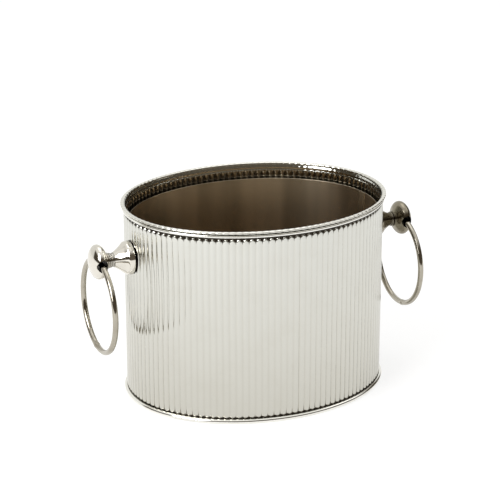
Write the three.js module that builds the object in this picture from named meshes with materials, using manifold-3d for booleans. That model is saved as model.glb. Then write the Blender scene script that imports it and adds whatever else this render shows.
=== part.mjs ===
// Oval champagne bucket: a reeded outer shell with a plain liner inside it, and at each end
// a turned post whose knob carries a loose ring handle.
// Millimetres, +Z up. The origin is on the floor under the centre of the oval,
// +X runs towards the right-hand ring and the bucket's front faces -Y.

import * as THREE from 'three';
import { mergeVertices } from 'three/addons/utils/BufferGeometryUtils.js';
import Module from 'manifold-3d';

// ---- driving dimensions ------------------------------------------------------------------

const CLEARANCE = 0.3; // left between pieces that touch on the real bucket

// Shell: one reeded sheet bent into an oval, measured over the crests of the reeds.
const SHELL_LENGTH = 290;
const SHELL_WIDTH = 235;
const BUCKET_HEIGHT = 216;
const SHELL_SHEET = 1.1;
const REED_COUNT = 120;
const REED_DEPTH = 1.0;
const REED_END_DROP = 6.1; // from the rim's top to where the grooves run out
const REED_RUN_OUT = 3.4; // length over which a groove rises to the plain margin
const SHELL_FLOOR_GAP = 0.6;

// Rim: a lobed bead on the sheet's edge and a half-round band under it.
const BEAD_WIDTH = 5.0;
const BEAD_HEIGHT = 2.8;
const BEAD_OVERHANG = 3.7; // outward, past the reed crests
const RIM_BAND_DROP = 5.5; // from the rim's top to the band's middle
const RIM_BAND_HEIGHT = 3.2;
const RIM_BAND_DEPTH = 1.6;

// Foot: a half-round band with its underside ground flat.
const FOOT_HEIGHT = 5.0;
const FOOT_DEPTH = 3.2;
const FOOT_FLAT = 1.9; // width of the flat that rests on the floor

// Bottom plate, recessed inside the foot.
const BASE_SHEET = 1.2;
const BASE_RECESS = 2.0;

// Liner: a plain tub that stands on the bottom plate.
const LINER_SHEET = 0.8;
const LINER_DROP = 17.5; // from the rim's top to the liner's edge
const LAP_WIDTH = 11; // overlap of the liner's vertical seam
const LAP_PLACE = 0.015; // where the seam is, as a share of the way round from +X

// Handle posts, screwed on from inside the shell.
const POST_DROP = 50.8; // from the rim's top to the post's axis
const FLANGE_DIAMETER = 36.8;
const FLANGE_THICKNESS = 6.2;
const NECK_DIAMETER = 14.7;
const NECK_LENGTH = 2.8; // from the narrowest place to the knob's collar
const POST_LENGTH = 24.6; // from the flange's back to the knob's collar
const SCREW_DIAMETER = 4;
const SCREW_LENGTH = 14;
const SCREW_HEAD_DIAMETER = 8.4;
const SCREW_HEAD_HEIGHT = 1.7;
const WASHER_DIAMETER = 13;
const WASHER_THICKNESS = 0.8;

// Knobs, screwed into the posts by a stud.
const KNOB_DIAMETER = 38;
const KNOB_THICKNESS = 19.5;
const COLLAR_DIAMETER = 17.6;
const COLLAR_LENGTH = 2.6;
const STUD_DIAMETER = 6;
const STUD_LENGTH = 7.5;
const HOLE_DIAMETER = 11.5;

// Ring handles: wire bent round and soldered shut.
const RING_RADIUS = 50.8; // to the middle of the wire
const WIRE_DIAMETER = 6.2;

// ---- sizes that follow -------------------------------------------------------------------

const HALF_LENGTH = SHELL_LENGTH / 2;
const HALF_WIDTH = SHELL_WIDTH / 2;
const END_RADIUS = HALF_WIDTH ** 2 / HALF_LENGTH; // the oval's radius of curvature at its ends

const GROOVE_STEPS = 3; // facets in one reed
const OVAL_STEPS = 90; // facets in a plain oval

// The screw's head and washer set the room between the shell and the liner.
const WASHER_SAG = (WASHER_DIAMETER / 2) ** 2 / (2 * END_RADIUS);
const WASHER_INSET = REED_DEPTH + SHELL_SHEET + WASHER_SAG + CLEARANCE;
const HEAD_INSET = WASHER_INSET + WASHER_THICKNESS + CLEARANCE;
const LINER_INSET = HEAD_INSET + SCREW_HEAD_HEIGHT + CLEARANCE;

const BASE_TOP = BASE_RECESS + BASE_SHEET;
const LINER_FLOOR = BASE_TOP + CLEARANCE;
const LINER_WALL_FOOT = LINER_FLOOR + LINER_SHEET + CLEARANCE;
const LINER_TOP = BUCKET_HEIGHT - LINER_DROP;
const POST_HEIGHT = BUCKET_HEIGHT - POST_DROP;
const NECK_PLACE = POST_LENGTH - NECK_LENGTH;

// The knob's round body starts at its collar; places are measured from the flange's back.
const POST_PLACE = HALF_LENGTH + CLEARANCE;
const BODY_START = Math.asin(COLLAR_DIAMETER / KNOB_DIAMETER);
const KNOB_SHOULDER = (KNOB_THICKNESS / 2) * Math.cos(BODY_START);
const KNOB_PLACE = POST_LENGTH + CLEARANCE + COLLAR_LENGTH + KNOB_SHOULDER;

// The ring rests on the lower edges of the hole's two mouths.
const HOLE_RADIUS = HOLE_DIAMETER / 2;
const WIRE_RADIUS = WIRE_DIAMETER / 2;
const MOUTH_PLACE = Math.sqrt((KNOB_DIAMETER / 2) ** 2 - HOLE_RADIUS ** 2);
const RING_BORE = RING_RADIUS - WIRE_RADIUS;
const RING_DROP = Math.sqrt(RING_BORE ** 2 - MOUTH_PLACE ** 2) + HOLE_RADIUS - CLEARANCE;

// ---- materials ---------------------------------------------------------------------------

function metal(color, roughness) {
  return new THREE.MeshStandardMaterial({ color, roughness, metalness: 1 });
}

const SILVER = 0xdcdcd4;
const OLD_SILVER = 0xc9c6ba;
const LINER_STEEL = 0x8d8371;
const PLAIN_STEEL = 0x9a9a9a;

// ---- solids and cuts ---------------------------------------------------------------------

const wasm = await Module();
wasm.setup();

function toManifold(geometry) {
  const bare = geometry.clone();
  bare.deleteAttribute('normal');
  bare.deleteAttribute('uv');
  const merged = mergeVertices(bare);
  const vertProperties = merged.attributes.position.array;
  const triVerts = new Uint32Array(merged.index.array);
  return new wasm.Manifold(new wasm.Mesh({ numProp: 3, vertProperties, triVerts }));
}

function toGeometry(manifold) {
  const { vertProperties, triVerts } = manifold.getMesh();
  const geometry = new THREE.BufferGeometry();
  geometry.setAttribute('position', new THREE.BufferAttribute(vertProperties, 3));
  geometry.setIndex(new THREE.BufferAttribute(triVerts, 1));
  geometry.computeVertexNormals();
  return geometry;
}

function cut(geometry, ...tools) {
  const left = tools.reduce((solid, tool) => solid.subtract(toManifold(tool)), toManifold(geometry));
  return toGeometry(left);
}

function piece(name, geometry, material) {
  const mesh = new THREE.Mesh(geometry, material);
  mesh.name = name;
  return mesh;
}

// ---- oval shapes -------------------------------------------------------------------------

const oval = new THREE.EllipseCurve(0, 0, HALF_LENGTH, HALF_WIDTH, 0, 2 * Math.PI);
oval.arcLengthDivisions = 2400;

// A point a share of the way round the oval of the reed crests, moved outward by offset.
function ovalPoint(share, offset) {
  const point = oval.getPointAt(share);
  const outward = new THREE.Vector2(point.x / HALF_LENGTH ** 2, point.y / HALF_WIDTH ** 2);
  return point.addScaledVector(outward.normalize(), offset);
}

// A closed section carried round the oval. Its points go up the outer side and down the
// inner one; a point with sunk = 1 moves inward by depthAt(share) at each step.
function ovalRing(section, steps, depthAt = () => 0) {
  const closed = [...section, section[0]];
  const outline = closed.map(({ offset, z }) => new THREE.Vector2(HALF_LENGTH + offset, z));
  const geometry = new THREE.LatheGeometry(outline, steps);
  const position = geometry.attributes.position;
  for (let step = 0; step <= steps; step += 1) {
    const share = (step % steps) / steps;
    closed.forEach(({ offset, z, sunk = 0 }, row) => {
      const { x, y } = ovalPoint(share, offset - sunk * depthAt(share));
      position.setXYZ(step * closed.length + row, x, y, z);
    });
  }
  geometry.computeVertexNormals();
  return geometry;
}

function ovalPlate(offset, bottom, thickness) {
  const outline = Array.from({ length: OVAL_STEPS }, (_, step) => ovalPoint(step / OVAL_STEPS, offset));
  const geometry = new THREE.ExtrudeGeometry(new THREE.Shape(outline), {
    depth: thickness,
    bevelEnabled: false,
  });
  return geometry.translate(0, 0, bottom);
}

// Points of an arc of an upright ellipse, from one angle to another in degrees.
function sectionArc(centre, halfWidth, halfHeight, from, to, count) {
  return Array.from({ length: count + 1 }, (_, i) => {
    const angle = THREE.MathUtils.degToRad(from + ((to - from) * i) / count);
    return {
      offset: centre.offset + halfWidth * Math.cos(angle),
      z: centre.z + halfHeight * Math.sin(angle),
    };
  });
}

// ---- shell, rim and foot -----------------------------------------------------------------

function reededShell() {
  const reedTop = BUCKET_HEIGHT - REED_END_DROP;
  const top = BUCKET_HEIGHT - BEAD_HEIGHT - CLEARANCE;
  const section = [
    { offset: 0, z: SHELL_FLOOR_GAP, sunk: 1 },
    { offset: 0, z: reedTop - REED_RUN_OUT, sunk: 1 },
    { offset: 0, z: reedTop },
    { offset: 0, z: top },
    { offset: -SHELL_SHEET, z: top },
    { offset: -SHELL_SHEET, z: reedTop },
    { offset: -SHELL_SHEET, z: reedTop - REED_RUN_OUT, sunk: 1 },
    { offset: -SHELL_SHEET, z: SHELL_FLOOR_GAP, sunk: 1 },
  ];
  const grooveDepth = (share) => {
    const place = Math.round(share * REED_COUNT * GROOVE_STEPS) % GROOVE_STEPS;
    return place === 0 ? REED_DEPTH : 0;
  };
  const sheet = ovalRing(section, REED_COUNT * GROOVE_STEPS, grooveDepth);
  const screwHole = new THREE.CylinderGeometry(
    SCREW_DIAMETER / 2 + CLEARANCE,
    SCREW_DIAMETER / 2 + CLEARANCE,
    SHELL_LENGTH * 2,
    16,
  );
  screwHole.rotateZ(Math.PI / 2).translate(0, 0, POST_HEIGHT);
  return piece('reeded_shell', cut(sheet, screwHole), metal(SILVER, 0.12));
}

function rimBead() {
  const centre = { offset: BEAD_OVERHANG - BEAD_WIDTH / 2, z: BUCKET_HEIGHT - BEAD_HEIGHT / 2 };
  const section = sectionArc(centre, BEAD_WIDTH / 2, BEAD_HEIGHT / 2, -90, 270, 6).slice(0, -1);
  return piece('rim_bead', ovalRing(section, OVAL_STEPS), metal(SILVER, 0.14));
}

function rimBand() {
  const centre = { offset: CLEARANCE, z: BUCKET_HEIGHT - RIM_BAND_DROP };
  const section = sectionArc(centre, RIM_BAND_DEPTH, RIM_BAND_HEIGHT / 2, -90, 90, 4);
  return piece('rim_band', ovalRing(section, OVAL_STEPS), metal(SILVER, 0.1));
}

function footBand() {
  const depth = FOOT_DEPTH - CLEARANCE;
  const lowest = -THREE.MathUtils.radToDeg(Math.acos((FOOT_FLAT - CLEARANCE) / depth));
  const halfHeight = FOOT_HEIGHT / (1 - Math.sin(THREE.MathUtils.degToRad(lowest)));
  const centre = { offset: CLEARANCE, z: FOOT_HEIGHT - halfHeight };
  const section = [{ offset: CLEARANCE, z: 0 }, ...sectionArc(centre, depth, halfHeight, lowest, 90, 4)];
  return piece('foot_band', ovalRing(section, OVAL_STEPS), metal(SILVER, 0.12));
}

function basePlate() {
  const offset = -(REED_DEPTH + SHELL_SHEET + CLEARANCE);
  return piece('base_plate', ovalPlate(offset, BASE_RECESS, BASE_SHEET), metal(OLD_SILVER, 0.3));
}

// ---- liner -------------------------------------------------------------------------------

// The liner's sheet is wrapped round and lapped, so it is double for LAP_WIDTH at its seam.
function linerWall() {
  const inside = -(LINER_INSET + LINER_SHEET);
  const section = [
    { offset: -LINER_INSET, z: LINER_WALL_FOOT },
    { offset: -LINER_INSET, z: LINER_TOP },
    { offset: inside, z: LINER_TOP, sunk: 1 },
    { offset: inside, z: LINER_WALL_FOOT, sunk: 1 },
  ];
  const seam = Math.round(LAP_PLACE * OVAL_STEPS) / OVAL_STEPS;
  const halfLap = LAP_WIDTH / 2 / oval.getLength();
  const lapDepth = (share) => (Math.abs(share - seam) <= halfLap ? LINER_SHEET : 0);
  return piece('liner_wall', ovalRing(section, OVAL_STEPS, lapDepth), metal(LINER_STEEL, 0.35));
}

function linerBottom() {
  const plate = ovalPlate(-LINER_INSET, LINER_FLOOR, LINER_SHEET);
  return piece('liner_bottom', plate, metal(LINER_STEEL, 0.35));
}

// ---- one ring handle ---------------------------------------------------------------------
// Each piece below is turned about +X, with x = 0 at the flange's back face.

function turned(profile, segments) {
  const points = profile.map(([place, radius]) => new THREE.Vector2(radius, place));
  return new THREE.LatheGeometry(points, segments).rotateZ(-Math.PI / 2);
}

function post(side) {
  const neck = NECK_DIAMETER / 2;
  const rimRadius = FLANGE_DIAMETER / 2;
  const flare = new THREE.QuadraticBezierCurve(
    new THREE.Vector2(FLANGE_THICKNESS, rimRadius - 0.4),
    new THREE.Vector2((FLANGE_THICKNESS + NECK_PLACE) / 2, neck + 0.8),
    new THREE.Vector2(NECK_PLACE, neck),
  );
  const screwBore = SCREW_DIAMETER / 2 + CLEARANCE;
  const screwDepth = SCREW_LENGTH - HEAD_INSET - CLEARANCE + 1;
  const studBore = STUD_DIAMETER / 2 + CLEARANCE;
  const studDepth = POST_LENGTH - STUD_LENGTH - 0.5;
  const profile = [
    [screwDepth, 0],
    [screwDepth, screwBore],
    [0, screwBore],
    [0, rimRadius - 0.4],
    [0.4, rimRadius],
    [FLANGE_THICKNESS - 0.4, rimRadius],
    ...flare.getPoints(6).map(({ x, y }) => [x, y]),
    [POST_LENGTH, neck + 0.5],
    [POST_LENGTH, studBore],
    [studDepth, studBore],
    [studDepth, 0],
  ];
  return piece(`${side}_post`, turned(profile, 26), metal(OLD_SILVER, 0.12));
}

function knob(side) {
  const radius = KNOB_DIAMETER / 2;
  const halfThickness = KNOB_THICKNESS / 2;
  const collarStart = POST_LENGTH + CLEARANCE;
  const collarRadius = COLLAR_DIAMETER / 2;
  const body = Array.from({ length: 12 }, (_, i) => {
    const angle = BODY_START + ((Math.PI - BODY_START) * i) / 12;
    return [KNOB_PLACE - halfThickness * Math.cos(angle), radius * Math.sin(angle)];
  });
  const profile = [
    [collarStart - STUD_LENGTH, 0],
    [collarStart - STUD_LENGTH, STUD_DIAMETER / 2],
    [collarStart, STUD_DIAMETER / 2],
    [collarStart, collarRadius - 0.5],
    [collarStart + COLLAR_LENGTH / 2, collarRadius],
    ...body,
    [KNOB_PLACE + halfThickness, 0],
  ];
  const hole = new THREE.CylinderGeometry(HOLE_RADIUS, HOLE_RADIUS, KNOB_DIAMETER * 2, 20);
  hole.translate(KNOB_PLACE, 0, 0);
  return piece(`${side}_knob`, cut(turned(profile, 28), hole), metal(OLD_SILVER, 0.12));
}

function ring(side) {
  const loop = new THREE.TorusGeometry(RING_RADIUS, WIRE_RADIUS, 8, 56).rotateY(Math.PI / 2);
  loop.translate(KNOB_PLACE, 0, -RING_DROP);
  return piece(`${side}_ring`, loop, metal(OLD_SILVER, 0.1));
}

function screw(side) {
  const head = SCREW_HEAD_DIAMETER / 2;
  const under = -(HEAD_INSET + CLEARANCE);
  const profile = [
    [under - SCREW_HEAD_HEIGHT, 0],
    [under - SCREW_HEAD_HEIGHT, head * 0.7],
    [under - SCREW_HEAD_HEIGHT / 2, head],
    [under, head],
    [under, SCREW_DIAMETER / 2],
    [under + SCREW_LENGTH, SCREW_DIAMETER / 2],
    [under + SCREW_LENGTH, 0],
  ];
  return piece(`${side}_screw`, turned(profile, 16), metal(PLAIN_STEEL, 0.4));
}

function washer(side) {
  const outer = WASHER_DIAMETER / 2;
  const bore = SCREW_DIAMETER / 2 + CLEARANCE;
  const outside = -(WASHER_INSET + CLEARANCE);
  const inside = outside - WASHER_THICKNESS;
  const profile = [
    [inside, bore],
    [inside, outer],
    [outside, outer],
    [outside, bore],
    [inside, bore],
  ];
  return piece(`${side}_washer`, turned(profile, 20), metal(PLAIN_STEEL, 0.45));
}

function handle(side, turn) {
  const fittings = new THREE.Group();
  fittings.add(post(side), knob(side), ring(side), screw(side), washer(side));
  fittings.position.set(POST_PLACE, 0, POST_HEIGHT);
  const end = new THREE.Group();
  end.add(fittings);
  end.rotation.z = turn;
  return end;
}

// ---- the bucket --------------------------------------------------------------------------

const bucket = new THREE.Group();
bucket.add(reededShell(), rimBead(), rimBand(), footBand(), basePlate());
bucket.add(linerWall(), linerBottom());
bucket.add(handle('left', Math.PI), handle('right', 0));

export default bucket;
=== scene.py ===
# %% [markdown]
# # An oval silver champagne bucket
#
# The bucket is a sheet of silver pressed into upright reeds and bent into an oval, with a
# lobed bead on its edge, a half-round band under the bead and another at the foot. A plain
# liner stands inside it. At each end a turned post holds a knob, and a ring swings in the
# knob's hole. The fixed frame is loaded first, and every size below comes from it.

# %% Load the frame
import math

import bpy
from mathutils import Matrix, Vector


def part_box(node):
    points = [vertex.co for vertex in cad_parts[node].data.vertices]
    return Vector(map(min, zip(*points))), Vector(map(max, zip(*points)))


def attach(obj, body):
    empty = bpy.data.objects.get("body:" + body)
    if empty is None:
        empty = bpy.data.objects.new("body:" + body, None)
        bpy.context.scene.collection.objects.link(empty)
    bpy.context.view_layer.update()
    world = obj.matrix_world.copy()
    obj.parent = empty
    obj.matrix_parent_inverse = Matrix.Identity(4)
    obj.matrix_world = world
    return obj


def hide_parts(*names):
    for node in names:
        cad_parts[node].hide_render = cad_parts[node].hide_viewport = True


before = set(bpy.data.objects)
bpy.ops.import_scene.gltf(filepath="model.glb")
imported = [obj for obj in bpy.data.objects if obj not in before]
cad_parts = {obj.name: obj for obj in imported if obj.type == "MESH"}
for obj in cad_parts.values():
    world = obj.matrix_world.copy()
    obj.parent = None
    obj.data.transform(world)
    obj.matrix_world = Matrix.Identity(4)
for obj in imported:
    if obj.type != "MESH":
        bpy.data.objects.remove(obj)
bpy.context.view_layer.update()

MM = 0.001

# %% [markdown]
# ## Sizes
#
# A reed's crest is the outermost line of the wall, so the wall's box gives the oval's two
# axes. The rest of the places are read from the boxes of the pieces that they belong to, and
# only what the frame doesn't hold, such as the depth of a groove, is named here.

# %% Sizes from the frame
WALL_LOW, WALL_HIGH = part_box("reeded_shell")
BEAD_LOW, BEAD_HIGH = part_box("rim_bead")
BAND_LOW, BAND_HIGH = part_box("rim_band")
FOOT_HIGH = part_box("foot_band")[1]
LINER_LOW, LINER_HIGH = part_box("liner_wall")
KNOB_LOW, KNOB_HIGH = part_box("right_knob")
POST_LOW, POST_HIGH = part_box("right_post")
RING_LOW, RING_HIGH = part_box("right_ring")
SCREW_LOW, SCREW_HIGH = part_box("right_screw")
WASHER_LOW, WASHER_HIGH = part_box("right_washer")

HALF_LENGTH = round(WALL_HIGH.x, 3)
HALF_WIDTH = round(2 * WALL_HIGH.y, 3) / 2
REEDS = 120
REED_DEPTH = 1.0 * MM
SHEET = 1.1 * MM
TOP_MARGIN = 8.9 * MM
FOOT_MARGIN = 0.8 * MM
REED_TOP = BEAD_HIGH.z - TOP_MARGIN
REED_BOTTOM = FOOT_HIGH.z + FOOT_MARGIN
HANDLE_HEIGHT = (KNOB_LOW.z + KNOB_HIGH.z) / 2
print("oval", HALF_LENGTH, HALF_WIDTH, "handle height", round(HANDLE_HEIGHT, 4))

# %% [markdown]
# ## Helpers
#
# Most of Blender's operators act on what is selected, and loading the frame leaves its nodes
# selected, so each piece starts by deselecting everything. A modifier is added, set and
# applied in one step, and each finished piece is told which body it rides on, and the plain
# nodes that it stands for are hidden. Points that lie closer together than a weld distance
# are one point, which closes the seams.

# %% Helpers for objects and modifiers
def fresh(name):
    """Name the object that an operator has just made."""
    piece = bpy.context.object
    piece.name = name
    piece.data.name = name
    return piece


def clear_selection():
    """Leave edit mode and deselect everything."""
    if bpy.context.object and bpy.context.object.mode != "OBJECT":
        bpy.ops.object.mode_set(mode="OBJECT")
    bpy.ops.object.select_all(action="DESELECT")


def work_on(piece):
    """Make one piece the only one that operators act on."""
    clear_selection()
    piece.select_set(True)
    bpy.context.view_layer.objects.active = piece


def apply_modifier(piece, kind, **settings):
    """Add a modifier, set it and apply it."""
    work_on(piece)
    modifier = piece.modifiers.new(kind.title(), kind)
    for key, value in settings.items():
        setattr(modifier, key, value)
    bpy.ops.object.modifier_apply(modifier=modifier.name)


def remove(piece):
    work_on(piece)
    bpy.ops.object.delete()


# %% Helpers for edit mode
WELD = 1e-6
AXIS_WELD = 2e-6
SEAM_WELD = 5e-6


def choose(piece, test):
    """Go into edit mode with only those vertices chosen whose place passes the test."""
    work_on(piece)
    bpy.ops.object.mode_set(mode="EDIT")
    bpy.ops.mesh.select_mode(type="VERT")
    bpy.ops.mesh.select_all(action="DESELECT")
    bpy.ops.object.mode_set(mode="OBJECT")
    for vertex in piece.data.vertices:
        vertex.select = bool(test(vertex.co))
    bpy.ops.object.mode_set(mode="EDIT")


def edit_all(piece):
    work_on(piece)
    bpy.ops.object.mode_set(mode="EDIT")
    bpy.ops.mesh.select_mode(type="VERT")
    bpy.ops.mesh.select_all(action="SELECT")


def leave_edit():
    bpy.ops.object.mode_set(mode="OBJECT")


def extrude_by(step):
    """Extrude what is chosen, by a step in metres."""
    bpy.ops.mesh.extrude_region_move(TRANSFORM_OT_translate={"value": step})


def tidy_faces(piece, reach=WELD):
    """Merge what lies together and turn every face outwards."""
    edit_all(piece)
    bpy.ops.mesh.remove_doubles(threshold=reach)
    bpy.ops.mesh.normals_make_consistent(inside=False)
    leave_edit()


def smooth(piece, degrees=35):
    """Shade smoothly, apart from edges that are sharper than an angle."""
    work_on(piece)
    bpy.ops.object.shade_smooth_by_angle(angle=math.radians(degrees))


def hand_over(piece, body, slot, *nodes):
    """Say what a finished piece rides on and hide the nodes that it stands for; slot is not used.
    """
    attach(piece, body)
    if nodes:
        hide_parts(*nodes)
    print(piece.name, len(piece.data.polygons), "faces on", body)
    return piece


# %% [markdown]
# ## The oval
#
# The real wall was a flat reeded strip, bent round and soldered, and it is made the same way
# here: each piece of the wall is modelled flat, with X along the wall, Y outwards and Z up,
# then a Curve modifier bends it. The curve is a circle squashed in edit mode. The modifier
# keeps lengths along the curve, so every reed has the same width, as on the real strip.

# %% The oval curve
clear_selection()
bpy.ops.curve.primitive_bezier_circle_add(radius=HALF_LENGTH)
oval = fresh("oval_guide")
bpy.ops.object.mode_set(mode="EDIT")
bpy.ops.curve.select_all(action="SELECT")
bpy.ops.transform.resize(value=(1, HALF_WIDTH / HALF_LENGTH, 1))
leave_edit()
oval.data.resolution_u = 64
oval.data.use_radius = False
ROUND = oval.data.splines[0].calc_length(resolution=256)
PITCH = ROUND / REEDS
print("round the oval", round(ROUND, 4), "one reed", round(PITCH, 5))


# %% Repeat a flat strip and bend it round
def bend_round(piece, count, step, closed=True):
    """Repeat a flat piece count times and bend the row round the oval."""
    if count > 1:
        apply_modifier(
            piece, "ARRAY", fit_type="FIXED_COUNT", count=count,
            use_relative_offset=False, use_constant_offset=True,
            constant_offset_displace=(step, 0, 0), use_merge_vertices=True, merge_threshold=WELD,
        )
    apply_modifier(piece, "CURVE", object=oval, deform_axis="POS_X")
    if closed:
        edit_all(piece)
        bpy.ops.mesh.remove_doubles(threshold=SEAM_WELD)
        leave_edit()


# %% [markdown]
# ## The reeded wall
#
# One reed is a shallow arc between two grooves. Spinning an upright edge about an axis behind
# the sheet sweeps that arc. At both ends the reed closes in a rounded nose: its edge is
# extruded in small steps and each new row is drawn in towards the middle and flattened, while
# its two outer points stay in the groove. Beyond the nose the sheet is plain, apart from one
# fine line under the rim, rolled inwards, which shows on the inside.
#
# Two numbers are kept on each point for the finish to read. The crest number says how far out
# of the groove the point lies. The other number is painted shade: it is full beside the noses,
# under the band, and a little way down the grooves below them, and part of it lies on the
# inner face, in the hollows, which leaves the fine ridges between them lighter.

# %% One reed
REED_STEPS = 10
TOP_NOSE = 4.6 * MM
BOTTOM_NOSE = 1.6 * MM
# How far the painted shade runs down the grooves below the top noses, and how much of it the inner
# face carries.
PAINTED_SHADE_TRAIL = 2.6 * MM
INNER_PAINTED_SHADE = 0.64
CURVE_RADIUS = ((PITCH / 2) ** 2 + REED_DEPTH ** 2) / (2 * REED_DEPTH)
HALF_SWEEP = math.asin(PITCH / 2 / CURVE_RADIUS)
GROOVE_Y = -REED_DEPTH
straight_start = REED_BOTTOM + BOTTOM_NOSE
straight_end = REED_TOP - TOP_NOSE

clear_selection()
bpy.ops.mesh.primitive_plane_add(size=1)
reed = fresh("reeded_wall")
edit_all(reed)
bpy.ops.mesh.merge(type="CENTER")
bpy.ops.transform.translate(value=(0, GROOVE_Y, straight_start))
extrude_by((0, 0, straight_end - PAINTED_SHADE_TRAIL - straight_start))
extrude_by((0, 0, PAINTED_SHADE_TRAIL))
bpy.ops.mesh.select_all(action="SELECT")
bpy.ops.mesh.spin(
    steps=REED_STEPS, angle=2 * HALF_SWEEP, axis=(0, 0, 1),
    center=(PITCH / 2, -CURVE_RADIUS, 0),
)
leave_edit()
depth = max(v.co.y for v in reed.data.vertices) - GROOVE_Y
print("reed is", round(PITCH, 5), "wide and", round(depth, 5), "deep")

# %% The reed's rounded ends and the plain margins
NOSE_STEPS = 6
NOSE_POWER = 0.62
FRONT_POWER = 10
NOSE_LEAN = -0.3 * MM
NARROWEST = 0.02
MARGIN_WIDTH = 0.9
EDGE_IN_BEAD = 1.6 * MM
# Millimetres above the noses, the share of a reed's depth, and millimetres outwards.
LINE_ROWS = [
    (0.9, 0.0, 0.2), (2.2, 0.04, 0.3), (3.2, 0.20, -0.6), (4.0, 0.20, -0.6), (5.0, 0.04, 0.4),
]
JUST_PAST = 0.01
SIDE_SHARE = 0.9


def nose_rows(from_height, length):
    """A nose's rows: height, the width and depth that are left, and how far the row leans."""
    rows = []
    for i in range(1, NOSE_STEPS + 1):
        share = math.sin(math.radians(90 * i / NOSE_STEPS))
        width = max(0, 1 - share ** 2) ** NOSE_POWER
        depth = math.sqrt(1 - share ** FRONT_POWER)
        rows.append((from_height + length * share, width, depth, NOSE_LEAN * share))
    return rows


def add_rows(piece, edge_height, rows):
    """Extrude the edge at edge_height into one row after another."""
    choose(piece, lambda place: abs(place.z - edge_height) < WELD)
    for height, width, depth, lean in rows:
        extrude_by((0, 0, height - edge_height))
        leave_edit()
        row = sorted((v for v in piece.data.vertices if v.select), key=lambda v: v.co.x)
        row[0].co.y = row[-1].co.y = GROOVE_Y + lean
        inner = row[1:-1]
        for place, vertex in enumerate(inner):
            across = 2 * place / (len(inner) - 1) - 1
            vertex.co.x = PITCH / 2 * (1 + across * max(width, NARROWEST))
            vertex.co.y = GROOVE_Y + lean + REED_DEPTH * depth * (1 - across ** 2)
        bpy.ops.object.mode_set(mode="EDIT")
        edge_height = height
    leave_edit()


top_margin = [
    *((REED_TOP + rise * MM, MARGIN_WIDTH, share, out * MM) for rise, share, out in LINE_ROWS),
    (BEAD_HIGH.z - EDGE_IN_BEAD, MARGIN_WIDTH, 0.0, 0.5 * MM),
]
foot_margin = [(WALL_LOW.z, MARGIN_WIDTH, 0.0, -0.4 * MM)]
add_rows(reed, straight_end, nose_rows(straight_end, TOP_NOSE) + top_margin)
add_rows(reed, straight_start, nose_rows(straight_start, -BOTTOM_NOSE) + foot_margin)
crest = reed.data.attributes.new("crest", "FLOAT", "POINT")
# Painted shade beside the noses, fading down the grooves below the top ones.
corner = reed.data.attributes.new("corner", "FLOAT", "POINT")
for vertex in reed.data.vertices:
    x, z = vertex.co.x, vertex.co.z
    past_end = max((z - straight_end) / TOP_NOSE, (straight_start - z) / BOTTOM_NOSE)
    nose_width = max(0, 1 - past_end ** 2) ** NOSE_POWER if past_end > 0 else 1
    from_middle = abs(x - PITCH / 2) / (PITCH / 2)
    crest.data[vertex.index].value = 1 - from_middle ** 2
    trail_top = abs(z - straight_end) < WELD
    in_painted_shade = (past_end > JUST_PAST or trail_top) and from_middle > SIDE_SHARE * nose_width
    corner.data[vertex.index].value = float(in_painted_shade)
print("reed has", len(reed.data.polygons), "faces")

# %% All the reeds, bent round
INNER_SPREAD = 1.6
bend_round(reed, REEDS, PITCH)
outer_points = len(reed.data.vertices)
apply_modifier(reed, "SOLIDIFY", thickness=SHEET, offset=-1, use_even_offset=False)
crest_values = reed.data.attributes["crest"].data
painted_shade_values = reed.data.attributes["corner"].data
# On the inner face the painted shade fills the hollows and stops short of the ridges.
for i in range(outer_points, len(painted_shade_values)):
    inner_shade = min(INNER_PAINTED_SHADE, INNER_SPREAD * crest_values[i].value)
    painted_shade_values[i].value = 0 if painted_shade_values[i].value > 0.5 else inner_shade
smooth(reed, 70)
reeded_wall = hand_over(reed, "bucket", "shell_silver", "reeded_shell")
wall_size = WALL_HIGH - WALL_LOW
print("wall box", [round(v, 4) for v in reed.dimensions], "frame", [round(v, 4) for v in wall_size])

# %% [markdown]
# ## The rim bead
#
# The bead is a roll on the sheet's edge, pressed into one plump lobe over each reed. A lobe
# is a circle extruded along the wall, widened towards its middle and narrowed again to the
# groove beside its neighbour. Only then is it repeated and bent round like the wall.

# %% One lobe
BEAD_INWARD = 1.3 * MM
BEAD_HALF_WIDTH = (BEAD_HIGH.x - HALF_LENGTH + BEAD_INWARD) / 2
BEAD_HALF_HEIGHT = (BEAD_HIGH.z - BEAD_LOW.z) / 2
BEAD_PLACE = BEAD_HIGH.x - HALF_LENGTH - BEAD_HALF_WIDTH
BEAD_LEVEL = BEAD_HIGH.z - BEAD_HALF_HEIGHT
LOBE_STEPS = 8
LOBE_NECK = 0.84
LOBE_POWER = 0.8


def lobe_size(share):
    """How wide the lobe is at a share of its length, against its widest place."""
    return LOBE_NECK + (1 - LOBE_NECK) * math.sin(math.pi * share) ** LOBE_POWER


def ring_of_points(name, sides, centre, half_width, half_height):
    """An upright ring of points across the wall, the start of what runs round it."""
    clear_selection()
    quarter_turn = math.radians(90)
    bpy.ops.mesh.primitive_circle_add(
        vertices=sides, radius=1, rotation=(quarter_turn, 0, quarter_turn)
    )
    piece = fresh(name)
    bpy.ops.object.transform_apply(rotation=True)
    edit_all(piece)
    bpy.ops.transform.resize(value=(1, half_width, half_height))
    bpy.ops.transform.translate(value=(0, *centre))
    leave_edit()
    return piece


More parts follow.
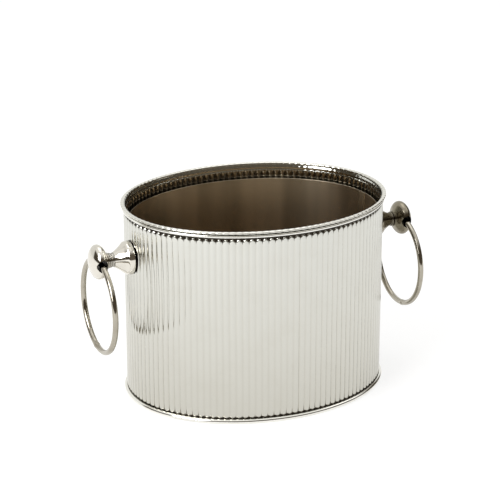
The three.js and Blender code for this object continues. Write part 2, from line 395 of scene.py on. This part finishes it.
bead = ring_of_points(
    "rim_roll", 16, (BEAD_PLACE, BEAD_LEVEL),
    BEAD_HALF_WIDTH * LOBE_NECK, BEAD_HALF_HEIGHT * LOBE_NECK,
)
edit_all(bead)
for step in range(1, LOBE_STEPS + 1):
    grown = lobe_size(step / LOBE_STEPS) / lobe_size((step - 1) / LOBE_STEPS)
    extrude_by((PITCH / LOBE_STEPS, 0, 0))
    bpy.ops.transform.resize(value=(1, grown, grown), center_override=(0, BEAD_PLACE, BEAD_LEVEL))
leave_edit()
plump = bead.data.attributes.new("crest", "FLOAT", "POINT")
for vertex in bead.data.vertices:
    plump.data[vertex.index].value = math.sin(math.pi * min(1, max(0, vertex.co.x / PITCH)))
print("lobe has", len(bead.data.polygons), "faces")

# %% The whole bead
bend_round(bead, REEDS, PITCH)
tidy_faces(bead)
smooth(bead, 40)
rim_roll = hand_over(bead, "bucket", "rim_silver", "rim_bead")

# %% [markdown]
# ## The two bands
#
# A half-round band runs under the bead, over the plain margin above the reeds' noses, and a
# heavier one finishes the foot, where its underside is ground flat so that the bucket stands
# firm. Both are rings of points, cut by bisecting where the real band is flat, extruded for
# a short way and bent round.

# %% Bands under the rim and at the foot
BAND_STEPS = 240
BAND_OUT = 0.3 * MM
BAND_HALF_DEPTH = BAND_HIGH.x - HALF_LENGTH - BAND_OUT
BAND_HALF_HEIGHT = (BAND_HIGH.z - BAND_LOW.z) / 2
FOOT_HALF_DEPTH = FOOT_HIGH.x - HALF_LENGTH - BAND_OUT
FOOT_FLAT = 1.6 * MM
FOOT_BACK = GROOVE_Y - 0.4 * MM


def bend_section(piece):
    """Extrude a section along the wall for one short step, then repeat it all the way round."""
    step = ROUND / BAND_STEPS
    edit_all(piece)
    extrude_by((step, 0, 0))
    leave_edit()
    bend_round(piece, BAND_STEPS, step)
    tidy_faces(piece)
    smooth(piece)


band = ring_of_points(
    "rim_moulding", 20, (BAND_OUT, (BAND_LOW.z + BAND_HIGH.z) / 2),
    BAND_HALF_DEPTH, BAND_HALF_HEIGHT,
)
bend_section(band)
rim_moulding = hand_over(band, "bucket", "rim_silver", "rim_band")

foot_drop = math.sqrt(1 - (FOOT_FLAT / FOOT_HALF_DEPTH) ** 2)
foot_half_height = FOOT_HIGH.z / (1 + foot_drop)
foot = ring_of_points(
    "foot_moulding", 40, (BAND_OUT, FOOT_HIGH.z - foot_half_height),
    FOOT_HALF_DEPTH, foot_half_height,
)
edit_all(foot)
bpy.ops.mesh.edge_face_add()
for place, facing in (((0, 0, 0), (0, 0, 1)), ((0, FOOT_BACK, 0), (0, 1, 0))):
    bpy.ops.mesh.bisect(plane_co=place, plane_no=facing, use_fill=False, clear_inner=True)
    bpy.ops.mesh.select_all(action="SELECT")
bpy.ops.mesh.delete(type="ONLY_FACE")
leave_edit()
bend_section(foot)
foot_moulding = hand_over(foot, "bucket", "base_silver", "foot_band")

# %% [markdown]
# ## The liner
#
# The liner is a plain tub of thin dull metal. Its wall is one sheet whose edge is turned over
# into a fine roll, and whose two ends overlap in a soldered lap near the right-hand end. The
# wall is a thin upright section carried round like the bands; the lap is a short second
# thickness on its inner face, joined to it.

# %% Liner wall with its rolled edge and lap
LINER_Y = LINER_HIGH.x - HALF_LENGTH
LINER_SHEET = 0.8 * MM
ROLL = 0.25 * MM
LAP_WIDTH = 11 * MM
LAP_SHARE = 0.015
END_TO_START = 0.75
LAP_IN = 1.45 * LINER_SHEET
LINER_HEIGHT = LINER_HIGH.z - LINER_LOW.z
LINER_MIDDLE = (LINER_HIGH.z + LINER_LOW.z) / 2

clear_selection()
bpy.ops.mesh.primitive_plane_add(size=1, rotation=(0, math.radians(90), 0))
liner = fresh("liner_tub")
bpy.ops.object.transform_apply(rotation=True)
edit_all(liner)
bpy.ops.transform.resize(value=(1, LINER_SHEET, LINER_HEIGHT))
bpy.ops.transform.translate(value=(0, LINER_Y - LINER_SHEET / 2, LINER_MIDDLE))
bpy.ops.mesh.bevel(offset=ROLL, segments=3, affect="VERTICES")
bpy.ops.mesh.delete(type="ONLY_FACE")
leave_edit()
bend_section(liner)

clear_selection()
bpy.ops.mesh.primitive_cube_add(size=1)
lap = fresh("liner_lap")
edit_all(lap)
bpy.ops.transform.resize(value=(LAP_WIDTH, LINER_SHEET, LINER_HEIGHT))
bpy.ops.transform.translate(
    value=((END_TO_START - LAP_SHARE) * ROUND, LINER_Y - LAP_IN, LINER_MIDDLE)
)
bpy.ops.mesh.subdivide(number_cuts=3)
leave_edit()
apply_modifier(lap, "BEVEL", width=ROLL, segments=2)
bend_round(lap, 1, 0, closed=False)
work_on(liner)
lap.select_set(True)
bpy.ops.object.join()
smooth(liner)
liner_tub = hand_over(liner, "bucket", "liner_metal", "liner_wall")

# %% [markdown]
# ## Turned pieces
#
# Posts, knobs, screws and washers are turned on a lathe, so each is half of its outline spun
# about the handle's axis. The outline is a row of points, extruded one from the other with
# the place along the axis and the radius of each. Rounded stretches come from an arc.

# %% Spin an outline about the handle's axis
SPIN_STEPS = 72


def turned(name, outline, steps=SPIN_STEPS):
    """A solid turned about the handle's axis from (place, radius) points."""
    clear_selection()
    bpy.ops.mesh.primitive_plane_add(size=1)
    piece = fresh(name)
    edit_all(piece)
    bpy.ops.mesh.merge(type="CENTER")
    start, radius = outline[0]
    bpy.ops.transform.translate(value=(start, 0, HANDLE_HEIGHT + radius))
    for place, next_radius in outline[1:]:
        extrude_by((place - start, 0, next_radius - radius))
        start, radius = place, next_radius
    bpy.ops.mesh.select_all(action="SELECT")
    bpy.ops.mesh.spin(steps=steps, angle=2 * math.pi, axis=(1, 0, 0), center=(0, 0, HANDLE_HEIGHT))
    leave_edit()
    tidy_faces(piece, AXIS_WELD)
    return piece


def arc(place, radius, half_width, half_height, start, end, count):
    """Points of an arc in an outline, between two angles in degrees from the axis."""
    points = []
    for i in range(count + 1):
        angle = math.radians(start + (end - start) * i / count)
        along = place + half_width * math.cos(angle)
        points.append((along, radius + half_height * math.sin(angle)))
    return points


def other_end(piece, name):
    """A copy at the left-hand end, turned half round about the bucket's upright axis."""
    work_on(piece)
    bpy.ops.object.duplicate()
    copy = fresh(name)
    copy.rotation_euler = (0, 0, math.pi)
    bpy.ops.object.transform_apply(rotation=True)
    return copy


def hand_over_pair(piece, slot, kind, left_body="bucket", right_body="bucket"):
    """Copy a right-hand piece to the left and hand both over, as left_kind and right_kind."""
    left = other_end(piece, piece.name.replace("right", "left"))
    hand_over(left, left_body, slot, "left_" + kind)
    hand_over(piece, right_body, slot, "right_" + kind)
    return left, piece


# %% [markdown]
# ## The posts
#
# A post is a round flange with softened edges, flat at the back, and a trumpet-shaped cone
# that sweeps down to a narrow neck. Seen from the side the flange stands a little away from
# the curved wall, as on the real bucket. Shade is painted behind the flange, in its gap to
# the wall, and more thinly round the neck, so the points there are marked for the finish.

# %% Turn the posts
FLANGE = 6.2 * MM
EDGE = 0.5 * MM
FLANGE_RADIUS = (POST_HIGH.z - POST_LOW.z) / 2
RIDGE_RADIUS = FLANGE_RADIUS - 0.6 * MM
NECK_RADIUS = 7.35 * MM
NECK_PLACE = POST_HIGH.x - 2.8 * MM
HOLLOW = 1.45
LIP = 1.3 * MM
post_back = POST_LOW.x
flange_front = post_back + FLANGE


def trumpet(count):
    """The cone's outline: nearly straight away from the flange, then hollowed towards the neck."""
    points = []
    for i in range(1, count + 1):
        share = i / count
        place = flange_front + (NECK_PLACE - flange_front) * share
        points.append((place, NECK_RADIUS + (RIDGE_RADIUS - NECK_RADIUS) * (1 - share) ** HOLLOW))
    return points


post_outline = [
    (post_back, 0),
    *arc(post_back + EDGE, FLANGE_RADIUS - EDGE, EDGE, EDGE, 180, 90, 4),
    (flange_front - EDGE, RIDGE_RADIUS + 0.1 * MM),
    (flange_front, RIDGE_RADIUS - 0.15 * MM),
    *trumpet(18),
    *arc(POST_HIGH.x - LIP, NECK_RADIUS + 0.1 * MM, LIP, 0.75 * MM, 140, 0, 8),
    (POST_HIGH.x, 0),
]
post = turned("right_handle_post", post_outline)
smooth(post, 40)

# %% Mark the painted shade on the posts
BACK_EDGE = 0.4 * MM
NECK_STRETCH = 3 * MM
NECK_PAINTED_SHADE = 0.62


def mark_painted_shade(piece, amount):
    """Write down how much shade is painted on each point, from 0 to 1, for the finish to read."""
    crest = piece.data.attributes.new("crest", "FLOAT", "POINT")
    corner = piece.data.attributes.new("corner", "FLOAT", "POINT")
    for vertex in piece.data.vertices:
        crest.data[vertex.index].value = 1
        corner.data[vertex.index].value = amount(vertex.co)


def post_painted_shade(place):
    """All of the painted shade behind the flange, some round the neck, none elsewhere."""
    if place.x < post_back + BACK_EDGE:
        return 1
    return NECK_PAINTED_SHADE if place.x > NECK_PLACE - NECK_STRETCH else 0


# Painted shade behind the flange and round the neck.
mark_painted_shade(post, post_painted_shade)
left_post, right_post = hand_over_pair(post, "handle_silver", "post")

# %% [markdown]
# ## The knobs
#
# The knob is a thick rounded disc on a stepped collar. Its hole is cut by a Boolean modifier
# with a turned bobbin, wider at both ends, so that the mouths of the hole come out rounded,
# as if the ring had worn them. The bobbin lies along Y, across the handle, and is bisected
# near its ends first, to have rings of points that can be spread. Shade is painted in the
# hole and lies thinly on the collar.

# %% Turn the knobs and drill them
KNOB_RADIUS = (KNOB_HIGH.z - KNOB_LOW.z) / 2
KNOB_HALF = 9.75 * MM
KNOB_PLACE = KNOB_HIGH.x - KNOB_HALF
COLLAR_RADIUS = 8.8 * MM
COLLAR_START = POST_HIGH.x + 0.3 * MM
COLLAR_END = COLLAR_START + 2.6 * MM
HOLE_RADIUS = 5.75 * MM
MOUTH = 3.0 * MM
MOUTH_CUTS = 6
CUTS_PER_MOUTH = 4
FLARE = 0.26
FLARE_END = 2
body_start = 180 - math.degrees(math.asin(COLLAR_RADIUS / KNOB_RADIUS))
knob_outline = [
    (COLLAR_START, 0),
    (COLLAR_START, COLLAR_RADIUS - 1.5 * MM),
    *arc(COLLAR_START + 0.7 * MM, COLLAR_RADIUS - 0.9 * MM, 0.7 * MM, 0.9 * MM, 160, 30, 6),
    (COLLAR_START + 1.5 * MM, COLLAR_RADIUS - 0.9 * MM),
    *arc(KNOB_PLACE, 0, KNOB_HALF, KNOB_RADIUS, body_start, 0, 36),
]
knob = turned("right_handle_knob", knob_outline)


def bobbin():
    """A turned cutter along Y whose ends flare like the worn mouths of the hole."""
    clear_selection()
    bpy.ops.mesh.primitive_cylinder_add(
        vertices=64, radius=HOLE_RADIUS, depth=3 * KNOB_RADIUS,
        location=(KNOB_PLACE, 0, HANDLE_HEIGHT), rotation=(math.radians(90), 0, 0),
    )
    cutter = fresh("hole_cutter")
    bpy.ops.object.transform_apply(location=True, rotation=True)
    mouth = math.sqrt(KNOB_RADIUS ** 2 - HOLE_RADIUS ** 2)
    for side in (-1, 1):
        for i in range(MOUTH_CUTS):
            cut = mouth - MOUTH + MOUTH * i / CUTS_PER_MOUTH
            edit_all(cutter)
            bpy.ops.mesh.bisect(plane_co=(0, side * cut, 0), plane_no=(0, 1, 0))
            leave_edit()
    flared = 0
    for vertex in cutter.data.vertices:
        past = (abs(vertex.co.y) - (mouth - MOUTH)) / MOUTH
        if past > 0:
            flared += 1
            grow = 1 + FLARE * min(past, FLARE_END) ** 2
            vertex.co.x = KNOB_PLACE + (vertex.co.x - KNOB_PLACE) * grow
            vertex.co.z = HANDLE_HEIGHT + (vertex.co.z - HANDLE_HEIGHT) * grow
    print("bobbin flares at", flared, "points")
    return cutter


cutter = bobbin()
apply_modifier(knob, "BOOLEAN", operation="DIFFERENCE", object=cutter, solver="EXACT")
remove(cutter)
tidy_faces(knob)
smooth(knob)

# %% Mark the painted shade on the knobs
HOLE_REACH = 1.1 * HOLE_RADIUS
COLLAR_PAINTED_SHADE = 0.6


def knob_painted_shade(place):
    """All of the painted shade in the hole, some on the collar, none elsewhere."""
    if math.hypot(place.x - KNOB_PLACE, place.z - HANDLE_HEIGHT) < HOLE_REACH:
        return 1
    return COLLAR_PAINTED_SHADE if place.x < COLLAR_END else 0


# Painted shade in the hole and on the collar.
mark_painted_shade(knob, knob_painted_shade)
left_knob, right_knob = hand_over_pair(knob, "handle_silver", "knob")

# %% [markdown]
# ## The rings
#
# Each ring is round wire bent into a circle and soldered shut. A torus has the right shape
# already, so the work is in the joint: the points near the bottom are swelled twice, the
# second time over a shorter stretch, into the small lump of solder that was never quite
# filed away.

# %% Bend and solder the rings
WIRE_RADIUS = (RING_HIGH.x - RING_LOW.x) / 2
RING_RADIUS = (RING_HIGH.z - RING_LOW.z) / 2 - WIRE_RADIUS
RING_CENTRE = Vector((KNOB_PLACE, 0, (RING_LOW.z + RING_HIGH.z) / 2))
clear_selection()
bpy.ops.mesh.primitive_torus_add(
    location=RING_CENTRE, rotation=(0, math.radians(90), 0), major_radius=RING_RADIUS,
    minor_radius=WIRE_RADIUS, major_segments=160, minor_segments=24,
)
ring = fresh("right_ring_handle")
bpy.ops.object.transform_apply(location=True, rotation=True)
JOINT_ANGLE = math.radians(-12.5)
JOINT_SIDE = 8 * MM
away_from_centre = Vector((0, math.sin(JOINT_ANGLE), -math.cos(JOINT_ANGLE)))
along_wire = Vector((0, math.cos(JOINT_ANGLE), math.sin(JOINT_ANGLE)))
joint = RING_CENTRE + away_from_centre * RING_RADIUS


def near_joint(place, reach):
    """Whether a place is on this side of the ring and within reach of the joint."""
    from_joint = place - joint
    return abs(from_joint.dot(along_wire)) < reach and from_joint.length < JOINT_SIDE


for reach, swell in ((2.4 * MM, 1.05), (1.4 * MM, 1.06)):
    choose(ring, lambda place: near_joint(place, reach))
    bpy.ops.transform.resize(value=(swell, swell, swell), center_override=joint)
    leave_edit()
smooth(ring, 60)
left_ring, right_ring = hand_over_pair(
    ring, "handle_silver", "ring", left_body="left_handle", right_body="right_handle"
)

# %% [markdown]
# ## The fixings
#
# A slotted screw and a washer hold each post from inside the wall, hidden by the liner. The
# screw's head is domed and its slot is cut with a thin block.

# %% Screws and washers
HEAD_RADIUS = (SCREW_HIGH.z - SCREW_LOW.z) / 2
HEAD_HEIGHT = 1.7 * MM
SHANK_RADIUS = 2 * MM
SHANK_CHAMFER = 0.6 * MM
SCREW_STEPS = 32
SLOT_DEPTH = 1.6 * MM
SLOT_WIDTH = 1.1 * MM
WASHER_RADIUS = (WASHER_HIGH.z - WASHER_LOW.z) / 2
head_under = SCREW_LOW.x + HEAD_HEIGHT
screw_outline = [
    (SCREW_LOW.x, 0),
    *arc(head_under, 0, HEAD_HEIGHT, HEAD_RADIUS, 178, 95, 6),
    (head_under, HEAD_RADIUS),
    (head_under, SHANK_RADIUS),
    (SCREW_HIGH.x - SHANK_CHAMFER, SHANK_RADIUS),
    (SCREW_HIGH.x, SHANK_RADIUS - SHANK_CHAMFER),
    (SCREW_HIGH.x, 0),
]
screw = turned("right_handle_screw", screw_outline, SCREW_STEPS)
clear_selection()
bpy.ops.mesh.primitive_cube_add(size=1, location=(SCREW_LOW.x, 0, HANDLE_HEIGHT))
slot_block = fresh("slot_block")
bpy.ops.transform.resize(value=(SLOT_DEPTH, SLOT_WIDTH, 4 * HEAD_RADIUS))
bpy.ops.object.transform_apply(location=True, scale=True)
apply_modifier(screw, "BOOLEAN", operation="DIFFERENCE", object=slot_block, solver="EXACT")
remove(slot_block)
smooth(screw)
left_screw, right_screw = hand_over_pair(screw, "screw_steel", "screw")

WASHER_STEPS = 40
WASHER_CHAMFER = 0.2 * MM
washer_bore = SHANK_RADIUS + 0.3 * MM
washer_outline = [
    (WASHER_LOW.x, washer_bore),
    (WASHER_LOW.x, WASHER_RADIUS - WASHER_CHAMFER),
    (WASHER_LOW.x + WASHER_CHAMFER, WASHER_RADIUS),
    (WASHER_HIGH.x, WASHER_RADIUS),
    (WASHER_HIGH.x, washer_bore),
    (WASHER_LOW.x, washer_bore),
]
washer = turned("right_handle_washer", washer_outline, WASHER_STEPS)
smooth(washer)
left_washer, right_washer = hand_over_pair(washer, "screw_steel", "washer")

remove(oval)


# %% [markdown]
# ## Writing finishes as expressions
#
# A finish is easier to read as sums than as a web of nodes. A Number wraps one socket, and
# adding or multiplying Numbers adds the Math nodes. Nodes holds one node tree and has one
# method that makes any other node from its type, its settings and its inputs. A Finish is
# the Nodes of one material, and the room's light is made with plain Nodes later on.

# %% Numbers in sums
class Number:
    """A socket that can stand in a sum."""

    def __init__(self, nodes, socket):
        self.nodes = nodes
        self.socket = socket

    def maths(self, operation, first, second):
        return self.nodes.node("ShaderNodeMath", {"operation": operation}, {0: first, 1: second})

    def __add__(self, other):
        return self.maths("ADD", self, other)

    def __radd__(self, other):
        return self.maths("ADD", other, self)

    def __sub__(self, other):
        return self.maths("SUBTRACT", self, other)

    def __rsub__(self, other):
        return self.maths("SUBTRACT", other, self)

    def __mul__(self, other):
        return self.maths("MULTIPLY", self, other)

    def __rmul__(self, other):
        return self.maths("MULTIPLY", other, self)


# %% The nodes of one tree
class Nodes:
    """A tree whose nodes are written as expressions."""

    def __init__(self, tree):
        self.tree = tree

    def feed(self, target, value):
        if isinstance(value, Number):
            self.tree.links.new(value.socket, target)
        else:
            target.default_value = value

    def node(self, kind, settings, inputs, output=0):
        """Any node: its type, its settings, its inputs by name or number, and the output wanted."""
        node = self.tree.nodes.new(kind)
        for key, value in settings.items():
            if key == "stops":
                ramp = node.color_ramp
                while len(ramp.elements) < len(value):
                    ramp.elements.new(1)
                for element, (position, colour) in zip(ramp.elements, value):
                    element.position = position
                    element.color = colour
            else:
                setattr(node, key, value)
        for key, value in inputs.items():
            self.feed(node.inputs[key], value)
        return Number(self, node.outputs[output])

    def part(self, vector, axis):
        """X, Y or Z of a vector, for axis 0, 1 or 2."""
        return self.node("ShaderNodeSeparateXYZ", {}, {"Vector": vector}, axis)

    def step(self, value, low, high, change="SMOOTHSTEP"):
        """0 below low and 1 above high."""
        return self.node(
            "ShaderNodeMapRange", {"interpolation_type": change},
            {"Value": value, "From Min": low, "From Max": high},
        )

    def blend(self, share, first, second):
        """A colour between two colours, by the Mix node's colour sockets."""
        return self.node(
            "ShaderNodeMix", {"data_type": "RGBA"}, {0: share, 6: first, 7: second}, 2
        )


# %% The nodes of one material
class Finish(Nodes):
    """A material whose nodes are written as expressions."""

    def __init__(self, name, metallic=1.0, roughness=0.1):
        self.material = bpy.data.materials.new(name)
        self.material.use_nodes = True
        super().__init__(self.material.node_tree)
        self.tree.nodes.clear()
        self.shader = self.tree.nodes.new("ShaderNodeBsdfPrincipled")
        output = self.tree.nodes.new("ShaderNodeOutputMaterial")
        self.tree.links.new(self.shader.outputs[0], output.inputs["Surface"])
        self.shader.inputs["Metallic"].default_value = metallic
        self.shader.inputs["Roughness"].default_value = roughness
        self.place = self.node("ShaderNodeTexCoord", {}, {}, "Object")

    def noise(self, size, stretch=(1, 1, 1), detail=3):
        """Smooth random values from 0 to 1 whose spots are about size metres across."""
        spot = self.node("ShaderNodeMapping", {}, {"Vector": self.place, "Scale": stretch})
        return self.node(
            "ShaderNodeTexNoise", {}, {"Vector": spot, "Scale": 1 / size, "Detail": detail}
        )

    def mark(self, name):
        """A number that is kept on each point of the piece."""
        return self.node("ShaderNodeAttribute", {"attribute_name": name}, {}, "Fac")

    def bump(self, height, strength, distance, under=None):
        inputs = {"Height": height, "Strength": strength, "Distance": distance}
        if under:
            inputs["Normal"] = under
        return self.node("ShaderNodeBump", {}, inputs)

    def set(self, **values):
        for key, value in values.items():
            self.feed(self.shader.inputs[key.replace("_", " ")], value)
        return self.material


# %% Colours
def colour(red, green, blue):
    return (red, green, blue, 1)


# %% [markdown]
# ## Silver
#
# Old silver isn't one colour. It is bright where it is rubbed and a little grey and yellow down
# in the grooves. Painted shade makes it duller towards the foot and nearly black beside the
# noses of the reeds. The two handles differ: the left post and knob are bright, while the right
# ones are darkened as painted shade, and the rings, darkened as painted shade over their
# tarnish, are between the two. Hand polishing leaves very fine scratches and a faint cloudiness
# in the shine. The same recipe makes each silver piece, with its own colours and its own
# amount of tarnish.

# %% The silver recipe
BRIGHT = colour(0.655, 0.655, 0.61)
DULL = colour(0.42, 0.38, 0.30)
# Near black, the colour of the painted shade beside the noses, behind the flanges and in the holes.
PAINTED_SHADE = colour(0.035, 0.03, 0.022)


WORN_BROWN = colour(0.20, 0.165, 0.11)
CLOUD_SIZE = 28 * MM
SPECK_SIZE = 3.5 * MM
SCRATCH_SIZE = 1.6 * MM
DENT_SIZE = 22 * MM
# Heights between which the painted shade at the foot fades out.
FOOT_TO_RIM = (0.01, 0.2)
# Where the painted shade turns from the finish to near black.
PAINTED_SHADE_EDGE = (0.45, 0.8)


def silver(
    name, tarnish, bright=BRIGHT, dull=DULL, base_roughness=0.07, groove_tarnish_and_shade=False, foot_painted_shade=0
):
    """Silver; tarnish and painted shade at the foot go from 0, none, to 1, dull all over."""
    finish = Finish(name)
    cloud = finish.noise(CLOUD_SIZE, detail=4)
    speck = finish.noise(SPECK_SIZE)
    stain = finish.step(cloud, 0.42, 0.75) * 0.5 + finish.step(speck, 0.5, 0.8) * 0.25
    if groove_tarnish_and_shade:
        stain = stain * 0.5 + (1 - finish.step(finish.mark("crest"), 0.0, 0.9)) * 0.5
    shade = finish.blend(stain * tarnish, bright, dull)
    # Painted shade: the silver duller towards the foot.
    if foot_painted_shade:
        low = 1 - finish.step(finish.part(finish.place, 2), *FOOT_TO_RIM, "LINEAR")
        shade = finish.blend(low * foot_painted_shade, shade, dull)
    # Painted shade, near black, where the points of the piece ask for it.
    if groove_tarnish_and_shade:
        shade = finish.blend(finish.step(finish.mark("corner"), *PAINTED_SHADE_EDGE), shade, PAINTED_SHADE)
    roughness = base_roughness + stain * 0.10 + speck * 0.03
    scratch = finish.noise(SCRATCH_SIZE, stretch=(1, 1, 0.12), detail=2)
    dent = finish.noise(DENT_SIZE, detail=1)
    normal = finish.bump(scratch, 0.05, 0.08 * MM)
    normal = finish.bump(dent, 0.12, 0.6 * MM, under=normal)
    return finish.set(Base_Color=shade, Roughness=roughness, Normal=normal)


# %% The silver finishes
shell_silver = silver("shell_silver_finish", tarnish=0.25, groove_tarnish_and_shade=True, foot_painted_shade=0.32)
rim_silver = silver(
    "rim_silver_finish", bright=colour(0.80, 0.79, 0.73), tarnish=0.35, groove_tarnish_and_shade=True
)
band_silver = silver("band_silver_finish", bright=colour(0.88, 0.87, 0.82), tarnish=0.3)
handle_silver = silver(
    "handle_silver_finish", bright=colour(0.74, 0.71, 0.64), dull=WORN_BROWN,
    tarnish=0.6, groove_tarnish_and_shade=True,
)
# The right post and knob: the handle silver darkened as painted shade.
shaded_handle_silver = silver(
    "shaded_handle_silver_finish", bright=colour(0.28, 0.25, 0.19), dull=colour(0.11, 0.09, 0.055),
    tarnish=0.9, base_roughness=0.13, groove_tarnish_and_shade=True,
)
# The rings: silver darkened as painted shade, with mottled tarnish.
ring_silver = silver(
    "ring_silver_finish", bright=colour(0.43, 0.40, 0.335), dull=WORN_BROWN, tarnish=0.9
)
print("silver finishes made")

# %% [markdown]
# ## Liner, base and steel
#
# The liner was never meant to shine: it is a dull warm brown metal with faint upright light
# and dark streaks. Its streaks are noise stretched upwards. The screws are plain steel with
# turning marks, and the base plate is dull silver.

# %% The dull metals
STREAK_SIZE = 35 * MM
SPOT_SIZE = 50 * MM
GRAIN_SIZE = 1.2 * MM


def worn_metal(name, light, dark, roughness, streaks):
    """A dull metal with light and dark streaks, stretched as the three numbers say."""
    finish = Finish(name)
    streak = finish.noise(STREAK_SIZE, stretch=streaks, detail=2)
    spots = finish.noise(SPOT_SIZE, detail=1)
    shade = finish.blend(finish.step(streak, 0.35, 0.7), dark, light)
    rough = roughness + streak * 0.04 + spots * 0.03
    normal = finish.bump(finish.noise(GRAIN_SIZE, stretch=streaks, detail=2), 0.04, 0.1 * MM)
    return finish.set(Base_Color=shade, Roughness=rough, Normal=normal)


liner_metal = worn_metal(
    "liner_metal_finish", colour(0.63, 0.53, 0.40), colour(0.42, 0.355, 0.265), 0.25, (1, 1, 0.06)
)
base_metal = worn_metal(
    "base_plate_finish", colour(0.5, 0.47, 0.42), colour(0.3, 0.28, 0.24), 0.3, (1, 1, 1)
)
steel = worn_metal(
    "screw_steel_finish", colour(0.55, 0.55, 0.55), colour(0.4, 0.4, 0.4), 0.3, (0.1, 1, 1)
)


# %% Dress the pieces
def dress(material, *pieces):
    """Give pieces their finish."""
    for piece in pieces:
        piece.data.materials.clear()
        piece.data.materials.append(material)


def dress_node(material, *names):
    """A node keeps its mesh, so the material goes into its object's slots."""
    for name in names:
        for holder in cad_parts[name].material_slots:
            holder.material = material


dress(shell_silver, reeded_wall)
dress(rim_silver, rim_roll)
dress(band_silver, rim_moulding, foot_moulding)
dress(handle_silver, left_post, left_knob)
dress(shaded_handle_silver, right_post, right_knob)
dress(ring_silver, left_ring, right_ring)
dress(liner_metal, liner_tub)
dress(steel, left_screw, right_screw, left_washer, right_washer)
dress_node(base_metal, "base_plate")
dress_node(liner_metal, "liner_bottom")

# %% [markdown]
# ## Floor and light
#
# Silver shows what is round it, so the surroundings matter as much as the finish. A white
# floor, which glows a little, fills the lower half of every reflection. The room is a warm
# brown near the floor and on the side that the bucket is seen from, which gives the silver
# its dark edges, and it is bright overhead and at the back. Its tone depends only on the
# direction that is looked in. A large soft light stands to the left, with a weaker one above
# and a faint one to the right.

# %% The floor
FLOOR_SIZE = 14
FLOOR_GLOW = 0.70
clear_selection()
bpy.ops.mesh.primitive_plane_add(size=FLOOR_SIZE)
floor = fresh("pale_floor")
paper = Finish("floor_paper", metallic=0.0, roughness=0.9)
grain = paper.noise(0.4, detail=2)
shade = paper.blend(grain, colour(0.34, 0.34, 0.34), colour(0.37, 0.37, 0.37))
dress(
    paper.set(Base_Color=shade, Emission_Color=colour(1, 1, 1), Emission_Strength=FLOOR_GLOW), floor
)

# %% The room
FRONT_TONE = colour(0.12, 0.10, 0.075)
BACK_TONE = colour(0.9, 0.9, 0.88)
UPWARD_TONES = [
    (0.0, colour(0.06, 0.05, 0.036)),
    (0.50, colour(0.09, 0.075, 0.055)),
    (0.66, colour(1.0, 0.99, 0.97)),
    (1.0, colour(1.0, 1.0, 1.0)),
]
world = bpy.data.worlds.new("room")
bpy.context.scene.world = world
world.use_nodes = True
room = Nodes(world.node_tree)
direction = room.node("ShaderNodeTexCoord", {}, {}, "Generated")
to_back = room.part(direction, 1)
upwards = room.node(
    "ShaderNodeValToRGB", {"stops": UPWARD_TONES}, {"Fac": room.part(direction, 2)}
)
front = room.blend(room.step(to_back, -0.8, -0.45, "LINEAR"), FRONT_TONE, upwards)
all_round = room.blend(room.step(to_back, 0.5, 0.62, "LINEAR"), front, BACK_TONE)
room.feed(room.tree.nodes["Background"].inputs["Color"], all_round)
print("the room has", len(room.tree.nodes), "nodes")


# %% The lights
def soft_light(name, place, aim, size, power):
    """A rectangular light at a place, turned to what it lights, with its power in watts."""
    clear_selection()
    bpy.ops.object.light_add(type="AREA", location=place)
    light = fresh(name)
    light.data.shape = "RECTANGLE"
    light.data.size, light.data.size_y = size
    light.data.energy = power
    light.rotation_euler = (aim - Vector(place)).to_track_quat("-Z", "Y").to_euler()


centre = Vector((0, 0, BEAD_HIGH.z / 2))
soft_light("left_softbox", (-1.9, -0.8, 1.5), centre, (1.2, 1.6), 40)
soft_light("right_softbox", (1.9, -0.2, 1.6), centre, (0.7, 1.4), 2)
soft_light("top_softbox", (0.2, 0.6, 2.6), centre, (1.8, 1.8), 8)

# %% [markdown]
# ## The camera
#
# The camera looks a little down on the bucket from the front left with a long lens, from a
# good two metres away. Its place is given by the point that it looks at, the distance and
# two angles.

# %% The camera
ELEVATION = math.radians(19.684)
TURN = math.radians(-24.026)
DISTANCE = 2.1178
TARGET = Vector((0.01546, 0.0460, 0.13503))
LENS = 135.38
SENSOR = 36
away = Vector((
    math.sin(TURN) * math.cos(ELEVATION), -math.cos(TURN) * math.cos(ELEVATION), math.sin(ELEVATION)
))
clear_selection()
bpy.ops.object.camera_add(location=TARGET + away * DISTANCE)
camera = fresh("camera")
camera.rotation_euler = (-away).to_track_quat("-Z", "Y").to_euler()
camera.data.lens = LENS
camera.data.sensor_width = SENSOR
bpy.context.scene.camera = camera
bpy.context.scene.view_settings.view_transform = "Standard"
print("camera at", [round(v, 3) for v in camera.location])
